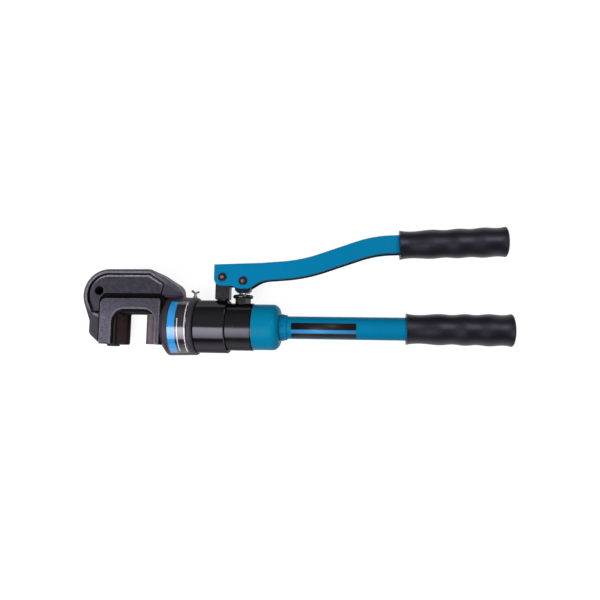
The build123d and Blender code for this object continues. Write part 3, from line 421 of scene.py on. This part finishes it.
def blue_paint(name, shades, channel=None):
    """Blue enamel with a slight orange peel; painted shade in a channel and on its under side, and a
    milder painted shade along its upper edge.
    """
    net = Net(name)
    colour = net.mix(net.noise(45.0, detail=3.0), *shades)
    if channel is not None:
        # painted shade in the channel, on the under side and along the upper edge
        upward = net.split(net.facing)[1]
        hollow = net.span(net.math("ABSOLUTE", net.z), channel, channel + CLEAN, 1.0, 0.0)
        shade = net.most(hollow, net.span(upward, *UNDER_SIDE, 1.0, 0.0))
        colour = net.mix(net.span(upward, *UPPER_SIDE, 0.0, 0.7), colour, BLUE_UPPER_SHADE)
        colour = net.mix(net.product(shade, 0.9), colour, BLUE_SHADE)
    rough = net.span(net.noise(160.0), *NOISE_RANGE, 0.26, 0.34)
    peel = net.bump(net.noise(900.0), strength=0.05, depth=0.0003)
    return net.surface(colour, rough, peel, Specular_IOR_Level=0.035)


RUBBER_TINT = (0.89, 0.86, 1.0, 1.0)


def rubber(name, shades, rough, gloss):
    """Moulded rubber with a fine grain and a little dust."""
    net = Net(name)
    grain = net.noise(2200.0, detail=3.0, rough=0.6)
    dust = net.noise(38.0, detail=4.0, rough=0.6)
    return net.surface(
        net.mix(net.span(dust, 0.4, 0.7), *shades),
        net.span(dust, *NOISE_RANGE, rough - 0.05, rough + 0.05),
        net.bump(grain, strength=0.22, depth=0.00025),
        Specular_IOR_Level=gloss,
        Specular_Tint=RUBBER_TINT,
    )


SCRATCHES = (3000.0, 300.0, 3000.0)


def scratched(net):
    """Fine scratches of machined steel: their pattern, and the normal that they give."""
    pattern = net.noise(1.0, detail=3.0, rough=0.7, place=net.stretched(SCRATCHES))
    return pattern, net.bump(pattern, strength=0.10, depth=0.0001)


def stained(net, scale):
    return net.span(net.noise(scale, detail=4.0, rough=0.6), *STAIN_RANGE)


def steel(name, shades, rough, metallic=1.0, gloss=0.5):
    """Machined steel with fine scratches and slight staining."""
    net = Net(name)
    scratch, normal = scratched(net)
    colour = net.mix(stained(net, 130.0), *shades)
    roughness = net.span(scratch, *NOISE_RANGE, rough - 0.06, rough + 0.08)
    return net.surface(colour, roughness, normal, Metallic=metallic, Specular_IOR_Level=gloss)


# Moving blade, measured back from its ground edge
GROUND_EDGE = 0.0026
# band, measured back, where the casting covers the blade and painted shade falls on it; share of the
# dark colour at the ground edge and in the band
COVERED_SHADE_BAND = (0.0070, 0.0088)
DARKEN_SHARE = 0.55
BLADE_BROWN = ((0.105, 0.078, 0.084), (0.160, 0.122, 0.129))
# dark colour of the ground edge, and painted shade where the casting covers the blade
BLADE_EDGE_AND_SHADE = (0.024, 0.0165, 0.018)


def moving_steel():
    """Worn brown steel of the moving blade, darker at its ground edge, with painted shade where the
    casting covers it.
    """
    net = Net("moving_blade_steel")
    scratch, normal = scratched(net)
    back = net.less(net.x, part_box("moving_blade")[0][0])
    covered_shade = net.between(back, *COVERED_SHADE_BAND, SOFTER)
    edge_and_shade = net.product(net.most(net.below(back, GROUND_EDGE, CLEAN), covered_shade), DARKEN_SHARE)
    colour = net.mix(stained(net, 130.0), *BLADE_BROWN)
    colour = net.mix(edge_and_shade, colour, BLADE_EDGE_AND_SHADE)
    rough = net.span(scratch, *NOISE_RANGE, 0.40, 0.54)
    return net.surface(colour, rough, normal, Metallic=0.5)


PIN_BARE = 0.0022
PIN_RUST = ((0.130, 0.066, 0.062), (0.330, 0.200, 0.190))
# black for the pin end outside its bare middle, partly painted shade of the gap round the pin
PIN_BLACK_AND_SHADE = (0.012, 0.011, 0.012)


def pin_steel(name, node):
    """Pin end: bare and rusty in the middle, black towards its clip, partly as painted shade of the gap
    round the pin.
    """
    net = Net(name)
    low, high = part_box(node)
    out = net.from_axis((low[0] + high[0]) / 2, (low[1] + high[1]) / 2)
    stain = stained(net, 420.0)
    rust = net.mix(stain, *PIN_RUST)
    colour = net.mix(net.below(out, PIN_BARE, CLEAN), PIN_BLACK_AND_SHADE, rust)
    rough = net.span(stain, 0.0, 1.0, 0.30, 0.42)
    normal = net.bump(stain, strength=0.20, depth=0.0001)
    return net.surface(colour, rough, normal, Metallic=0.7)


EYE_FOOT = (0.0398, 0.0404)
EYE_BLACK = ((0.009, 0.0145, 0.021), (0.019, 0.028, 0.039))
EYE_ROUGHER = 0.16
ROD_BRIGHT = ((0.42, 0.41, 0.40), (0.60, 0.58, 0.56))


def plunger_steel():
    """Bright rod below, blackened eye above."""
    net = Net("plunger_steel")
    scratch, normal = scratched(net)
    eye = net.span(net.y, *EYE_FOOT)
    bright = net.mix(scratch, *ROD_BRIGHT)
    black = net.mix(net.noise(260.0, detail=4.0, rough=0.6), *EYE_BLACK)
    rough = net.span(scratch, *NOISE_RANGE, 0.24, 0.32)
    rough = net.total(rough, net.product(eye, EYE_ROUGHER))
    return net.surface(net.mix(eye, bright, black), rough, normal, Metallic=1.0)


FILM_DIM = 0.9


def film(name, colour, rough, gloss=1.0):
    """Printed film: even colour with a faint mottle."""
    net = Net(name)
    cloud = net.noise(300.0)
    dim = tuple(c * FILM_DIM for c in colour)
    roughness = net.span(cloud, *NOISE_RANGE, rough, rough + 0.04)
    return net.surface(net.mix(cloud, dim, colour), roughness, Specular_IOR_Level=gloss)


# Colours of the other materials, each as its darker and its lighter shade
BARREL_BLACK = ((0.038, 0.036, 0.040), (0.046, 0.044, 0.049))
PUMP_BLACK = ((0.030, 0.0285, 0.032), (0.038, 0.036, 0.040))
GLAND_BLACK = ((0.055, 0.056, 0.060), (0.075, 0.076, 0.080))
TUBE_BLUE = ((0.0008, 0.178, 0.318), (0.0012, 0.204, 0.362))
LEVER_BLUE = ((0.0008, 0.184, 0.342), (0.0012, 0.208, 0.382))
CAP_BLUE = ((0.0008, 0.194, 0.322), (0.0012, 0.222, 0.366))
GRIP_BLACK = ((0.0038, 0.0032, 0.0054), (0.0070, 0.0060, 0.0098))
SEAL_BLACK = ((0.005, 0.005, 0.005), (0.008, 0.008, 0.008))
# the fixed blade's brown is painted darker, partly as shade deep in the blade slot
FIXED_BROWN_SHADED = ((0.034, 0.0138, 0.0155), (0.050, 0.0205, 0.0230))
DARK_STEEL = ((0.014, 0.0135, 0.015), (0.030, 0.029, 0.031))
BRIGHT_STEEL = ((0.44, 0.41, 0.40), (0.60, 0.57, 0.55))
SCREW_STEEL = ((0.18, 0.165, 0.125), (0.34, 0.31, 0.24))
BRASS = ((0.40, 0.28, 0.12), (0.52, 0.38, 0.18))
FILM_BLACK = (0.010, 0.0090, 0.0115)
FILM_BLUE = (0.010, 0.310, 0.720)
FILM_WHITE = (0.80, 0.79, 0.80)
STRIP_BLACK = (0.0110, 0.0070, 0.0080)
# light blue field on the tube's film: a painted highlight of the lamp on the glossy film
STRIP_HIGHLIGHT_BLUE = (0.045, 0.300, 0.620)

MATERIALS = {
    "cast_black": cast_black(),
    "turned_black": turned_black("turned_black", LINES_X, BARREL_BLACK, rough=0.09),
    "pump_black": turned_black("pump_black", LINES_X, PUMP_BLACK, rough=0.17),
    "gland_black": turned_black("gland_black", LINES_Y, GLAND_BLACK, rough=0.14),
    "blue_paint": blue_paint("blue_paint", TUBE_BLUE),
    "lever_paint": blue_paint("lever_paint", LEVER_BLUE, LEVER_CHANNEL),
    "cap_paint": blue_paint("cap_paint", CAP_BLUE),
    "grip_rubber": rubber("grip_rubber", GRIP_BLACK, rough=0.41, gloss=0.40),
    "seal_rubber": rubber("seal_rubber", SEAL_BLACK, rough=0.45, gloss=0.24),
    "fixed_blade": steel("fixed_blade_steel", FIXED_BROWN_SHADED, rough=0.60, metallic=0.0, gloss=0.05),
    "moving_blade": moving_steel(),
    "dark_steel": steel("dark_steel", DARK_STEEL, rough=0.40, metallic=0.6),
    "bright_steel": steel("bright_steel", BRIGHT_STEEL, rough=0.28),
    "fulcrum_pin": pin_steel("fulcrum_pin_steel", "fulcrum_pin"),
    "plunger_pin": pin_steel("plunger_pin_steel", "plunger_pin"),
    "screw_steel": steel("screw_steel", SCREW_STEEL, rough=0.38, metallic=0.9),
    "plunger_steel": plunger_steel(),
    "brass": steel("brass", BRASS, rough=0.32),
    "film_black": film("film_black", FILM_BLACK, rough=0.12),
    "film_blue": film("film_blue", FILM_BLUE, rough=0.12, gloss=0.85),
    "film_white": film("film_white", FILM_WHITE, rough=0.13),
    "strip_black": film("strip_black", STRIP_BLACK, rough=0.42, gloss=0.25),
    "strip_sky": film("strip_sky", STRIP_HIGHLIGHT_BLUE, rough=0.42, gloss=0.25),
}
# A node takes the material named here, or else the one of its slot
NODE_MATERIALS = {
    "head_casting": "cast_black",
    "cylinder_barrel": "turned_black",
    "pump_body": "pump_black",
    "fixed_blade": "fixed_blade",
    "moving_blade": "moving_blade",
    "fulcrum_pin": "fulcrum_pin",
    "plunger_pin": "plunger_pin",
    "gland_nut": "gland_black",
    "lever_arm": "lever_paint",
    "end_cap": "cap_paint",
    "pump_plunger": "plunger_steel",
    "head_lock_screw": "screw_steel",
    "retaining_clips": "dark_steel",
}
SLOT_MATERIALS = {
    "blue_paint": "blue_paint",
    "grip_rubber": "grip_rubber",
    "dark_steel": "dark_steel",
    "bright_steel": "bright_steel",
    "seal_rubber": "seal_rubber",
    "guide_bronze": "brass",
    "filter_brass": "brass",
}


def dress_nodes():
    for entry in frame["record"]["subparts"]:
        node = entry["node"]
        name = NODE_MATERIALS.get(node) or SLOT_MATERIALS[entry["material_slot"]]
        mesh = NODES[node].data
        mesh.materials.clear()
        mesh.materials.append(MATERIALS[name])


# Films on collar and tube, in millimetres along X and degrees from +Z, positive towards the lever
FILM_THICK = 0.12
FILM_STEP = 2.0
SLACK = 0.001
COLLAR_TAPER = (58.4, 94.0)
COLLAR_DRAFT = 1.0
COLLAR_TOP = 53.0
COLLAR_BOTTOM = -66.0
# start of the stripe, its material, and the angles that it runs between; it is black beyond them
COLLAR_STRIPES = [
    (65.0, "film_black", COLLAR_TOP, COLLAR_BOTTOM),
    (66.2, "film_blue", COLLAR_TOP, COLLAR_BOTTOM),
    (74.6, "film_black", COLLAR_TOP, COLLAR_BOTTOM),
    (77.1, "film_white", 12.0, -60.0),
    (78.0, "film_black", COLLAR_TOP, COLLAR_BOTTOM),
    (85.6, "film_white", 50.0, -62.0),
    (86.6, "film_black", COLLAR_TOP, COLLAR_BOTTOM),
]
COLLAR_END = 88.4
TUBE_X = [206.2, 281.0]
# upper angle of the field, and its material; the light blue field is a painted highlight
TUBE_FIELDS = [(21.5, "strip_black"), (-12.5, "strip_sky"), (-32.0, "strip_black")]
TUBE_BOTTOM = -63.0


def collar_radius(x):
    """Outer radius of the collar, which tapers slightly towards the barrel."""
    front, rear = COLLAR_TAPER
    share = (x - front) / (rear - front)
    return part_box("head_casting")[1][2] / MM - COLLAR_DRAFT * share


def tube_radius(x):
    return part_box("handle_tube")[1][2] / MM


def collar_pick(x, angle):
    _, kind, upper, lower = [stripe for stripe in COLLAR_STRIPES if stripe[0] <= x + SLACK][-1]
    return kind if lower + SLACK < angle <= upper + SLACK else "film_black"


def tube_pick(x, angle):
    return [kind for upper, kind in TUBE_FIELDS if upper >= angle - SLACK][-1]


def steps_between(stops, step):
    """The stops themselves, with even steps filled in between them."""
    values = [stops[0]]
    for start, end in zip(stops, stops[1:]):
        count = max(1, round(abs(end - start) / step))
        values += [start + (end - start) * k / count for k in range(1, count + 1)]
    return values


def film_shell(name, stations, angles, radius, pick):
    """Thin closed shell on a turned surface about X; pick gives each field's material."""
    names = sorted({pick(x, angle) for x in stations[:-1] for angle in angles[:-1]})
    columns = len(stations)
    rows = len(angles)
    points = []
    for lift in (FILM_THICK, 0.0):
        for x in stations:
            r = radius(x) + lift
            for angle in angles:
                turn = math.radians(angle)
                points.append(Vector((x, r * math.sin(turn), r * math.cos(turn))) * MM)
    under = columns * rows
    faces = []
    kinds = []
    for i in range(columns - 1):
        for j in range(rows - 1):
            a, b = i * rows + j, (i + 1) * rows + j
            faces.append((a, a + 1, b + 1, b))
            faces.append((under + a, under + b, under + b + 1, under + a + 1))
            kinds += [names.index(pick(stations[i], angles[j]))] * 2
    round_faces = len(faces)
    rim = [i * rows for i in range(columns)]
    rim += [(columns - 1) * rows + j for j in range(1, rows)]
    rim += [i * rows + rows - 1 for i in reversed(range(columns - 1))]
    rim += list(reversed(range(1, rows - 1)))
    for a, b in zip(rim, rim[1:] + rim[:1]):
        faces.append((a, b, under + b, under + a))
        kinds.append(0)
    mesh = bpy.data.meshes.new(name)
    mesh.from_pydata(points, [], faces)
    for key in names:
        mesh.materials.append(MATERIALS[key])
    for face, kind in zip(mesh.polygons, kinds):
        face.material_index = kind
        face.use_smooth = face.index < round_faces
    mesh.validate()
    return add_object(name, mesh)


def make_films():
    stations = [stripe[0] for stripe in COLLAR_STRIPES] + [COLLAR_END]
    stops = sorted({angle for stripe in COLLAR_STRIPES for angle in stripe[2:]}, reverse=True)
    angles = steps_between(stops, FILM_STEP)
    band = film_shell("collar_band", stations, angles, collar_radius, collar_pick)
    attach(band, "head")

    stops = [upper for upper, kind in TUBE_FIELDS] + [TUBE_BOTTOM]
    angles = steps_between(stops, FILM_STEP)
    strip = film_shell("tube_band", TUBE_X, angles, tube_radius, tube_pick)
    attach(strip, "frame")


# Small moulded ring on the upper grip, near its mouth
RING_FROM_MOUTH = 0.0119
# radius, and height over the skin of the grip
RING_SECTION = [
    (0.0010, -0.0002),
    (0.0013, 0.00022),
    (0.0017, 0.00030),
    (0.0021, 0.00020),
    (0.0024, -0.0002),
]
RING_TURNS = 40
RING_SLICE = 0.004
RAY_ABOVE = 0.05
DOWN = (0.0, 0.0, -1.0)


def make_grip_ring():
    """Bead that follows the skin of the grip, which it is set on by rays from above."""
    grip = NODES["upper_grip"]
    low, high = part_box("upper_grip")
    bpy.context.view_layer.update()
    middle = low[0] + RING_FROM_MOUTH
    sides = [v.co.y for v in grip.data.vertices if abs(v.co.x - middle) < RING_SLICE]
    centre = Vector((middle, (max(sides) + min(sides)) / 2, 0.0))
    points = []
    for step in range(RING_TURNS):
        turn = 2 * math.pi * step / RING_TURNS
        for radius, lift in RING_SECTION:
            x = centre.x + radius * math.cos(turn)
            y = centre.y + radius * math.sin(turn)
            skin = grip.ray_cast((x, y, high[2] + RAY_ABOVE), DOWN)[1]
            points.append(skin + Vector((0.0, 0.0, lift)))
    count = len(RING_SECTION)
    faces = []
    for step in range(RING_TURNS):
        here, after = step * count, (step + 1) % RING_TURNS * count
        for k in range(count):
            j = (k + 1) % count
            faces.append((here + k, after + k, after + j, here + j))
    mesh = bpy.data.meshes.new("grip_ring")
    mesh.from_pydata(points, [], faces)
    mesh.materials.append(MATERIALS["grip_rubber"])
    for face in mesh.polygons:
        face.use_smooth = True
    ring = add_object("grip_ring", mesh)
    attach(ring, "lever")


# Floor: a plane that rises along X through two points, so that it touches head and grip
FLOOR_FRONT = (0.0916, -0.0344)
FLOOR_BACK = (0.445, -0.0189)
FLOOR_SIZE = 6.0
FLOOR_COLOUR = (0.30, 0.30, 0.30)
FLOOR_GLOW = 0.87

# Room: brightness low down, at the far wall and overhead, and where it changes from one to the other
SKY_LOW = 0.018
SKY_BACK = 0.15
SKY_TURN = (-0.4, 0.8)
SKY_HIGH = 0.34
SKY_RISE = (0.25, 1.0)
BACKDROP_GLOW = 0.85
BACKDROP_RISE = (0.10, 0.36)
BACKDROP_TURN = (-0.2, 0.8)

# Softboxes: brightness across one, from its near edge to its far one, and the lamps themselves with
# name, place, point it faces, width, height and watts
SOFTBOX_FALL = [(0.0, 0.50), (0.55, 1.15), (0.88, 1.25), (1.0, 0.55)]
LAMP_COLOUR = (1.0, 0.975, 1.10)
LAMPS = [
    ("key_softbox", (-0.16, -0.42, 0.74), (-0.08, 0.0, 0.0), 0.66, 0.74, 7.5),
    ("fill_softbox", (0.72, 0.36, 0.85), (0.30, 0.05, 0.0), 0.40, 0.40, 3.2),
]


def floor_material():
    """Grey floor that keeps the shadow, and glows white to the camera, to mirrors and to glass."""
    material = bpy.data.materials.new("studio_floor")
    material.use_nodes = True
    graph = Graph(material.node_tree)
    graph.nodes.clear()
    out = graph.nodes.new("ShaderNodeOutputMaterial")
    matte = graph.nodes.new("ShaderNodeBsdfDiffuse")
    matte.inputs["Color"].default_value = FLOOR_COLOUR + (1.0,)
    glow = graph.nodes.new("ShaderNodeEmission")
    glow.inputs["Strength"].default_value = FLOOR_GLOW
    both = graph.nodes.new("ShaderNodeAddShader")
    graph.links.new(matte.outputs[0], both.inputs[0])
    graph.links.new(glow.outputs[0], both.inputs[1])
    pick = graph.nodes.new("ShaderNodeMixShader")
    graph.links.new(graph.seen(), pick.inputs[0])
    graph.links.new(matte.outputs[0], pick.inputs[1])
    graph.links.new(both.outputs[0], pick.inputs[2])
    graph.links.new(pick.outputs[0], out.inputs["Surface"])
    return material


def make_floor():
    slope = (FLOOR_BACK[1] - FLOOR_FRONT[1]) / (FLOOR_BACK[0] - FLOOR_FRONT[0])
    half = FLOOR_SIZE / 2
    corners = []
    for x, y in ((-half, -half), (half, -half), (half, half), (-half, half)):
        corners.append((x, y, FLOOR_FRONT[1] + (x - FLOOR_FRONT[0]) * slope))
    mesh = bpy.data.meshes.new("floor")
    mesh.from_pydata(corners, [], [(0, 1, 2, 3)])
    mesh.materials.append(floor_material())
    floor = add_object("floor", mesh)


def make_sky():
    """Dim room, palest overhead, with a low pale backdrop that fades towards the far wall."""
    world = bpy.data.worlds.new("studio")
    bpy.context.scene.world = world
    world.use_nodes = True
    graph = Graph(world.node_tree)
    direction = graph.split(graph.nodes.new("ShaderNodeTexCoord").outputs["Generated"])
    back = graph.span(direction["Y"], *SKY_TURN, SKY_LOW, SKY_BACK)
    above = graph.span(direction["Z"], *SKY_RISE, 0.0, SKY_HIGH)
    low = graph.span(direction["Z"], *BACKDROP_RISE, BACKDROP_GLOW, 0.0)
    near = graph.span(direction["Y"], *BACKDROP_TURN, 1.0, 0.0)
    backdrop = graph.product(low, near, graph.seen())
    room = graph.nodes["Background"]
    room.inputs["Color"].default_value = WHITE
    graph.links.new(graph.total(back, above, backdrop), room.inputs["Strength"])


def shade_softbox(data):
    """Soft fall-off across the cloth of a softbox, brightest near its far edge."""
    data.use_nodes = True
    graph = Graph(data.node_tree)
    across = graph.split(graph.nodes.new("ShaderNodeNewGeometry").outputs["Parametric"])["Y"]
    curve = graph.nodes.new("ShaderNodeFloatCurve")
    curve.mapping.use_clip = False
    line = curve.mapping.curves[0]
    top = max(level for place, level in SOFTBOX_FALL)
    for point, (place, level) in zip(line.points, (SOFTBOX_FALL[0], SOFTBOX_FALL[-1])):
        point.location = (place, level / top)
    for place, level in SOFTBOX_FALL[1:-1]:
        line.points.new(place, level / top)
    for point in line.points:
        point.handle_type = "VECTOR"
    curve.mapping.update()
    graph.links.new(across, curve.inputs["Value"])
    strength = graph.product(curve.outputs["Value"], top)
    graph.links.new(strength, graph.nodes["Emission"].inputs["Strength"])


def make_lamps():
    for name, place, aim, width, height, watts in LAMPS:
        data = bpy.data.lights.new(name, "AREA")
        data.shape = "RECTANGLE"
        data.size = width
        data.size_y = height
        data.energy = watts
        data.color = LAMP_COLOUR
        shade_softbox(data)
        lamp = add_object(name, data)
        lamp.location = place
        lamp.rotation_euler = (Vector(aim) - Vector(place)).to_track_quat("-Z", "Y").to_euler()


dress_nodes()
make_films()
make_grip_ring()
make_floor()
make_sky()
make_lamps()
make_camera()
bpy.context.scene.view_settings.view_transform = "Standard"
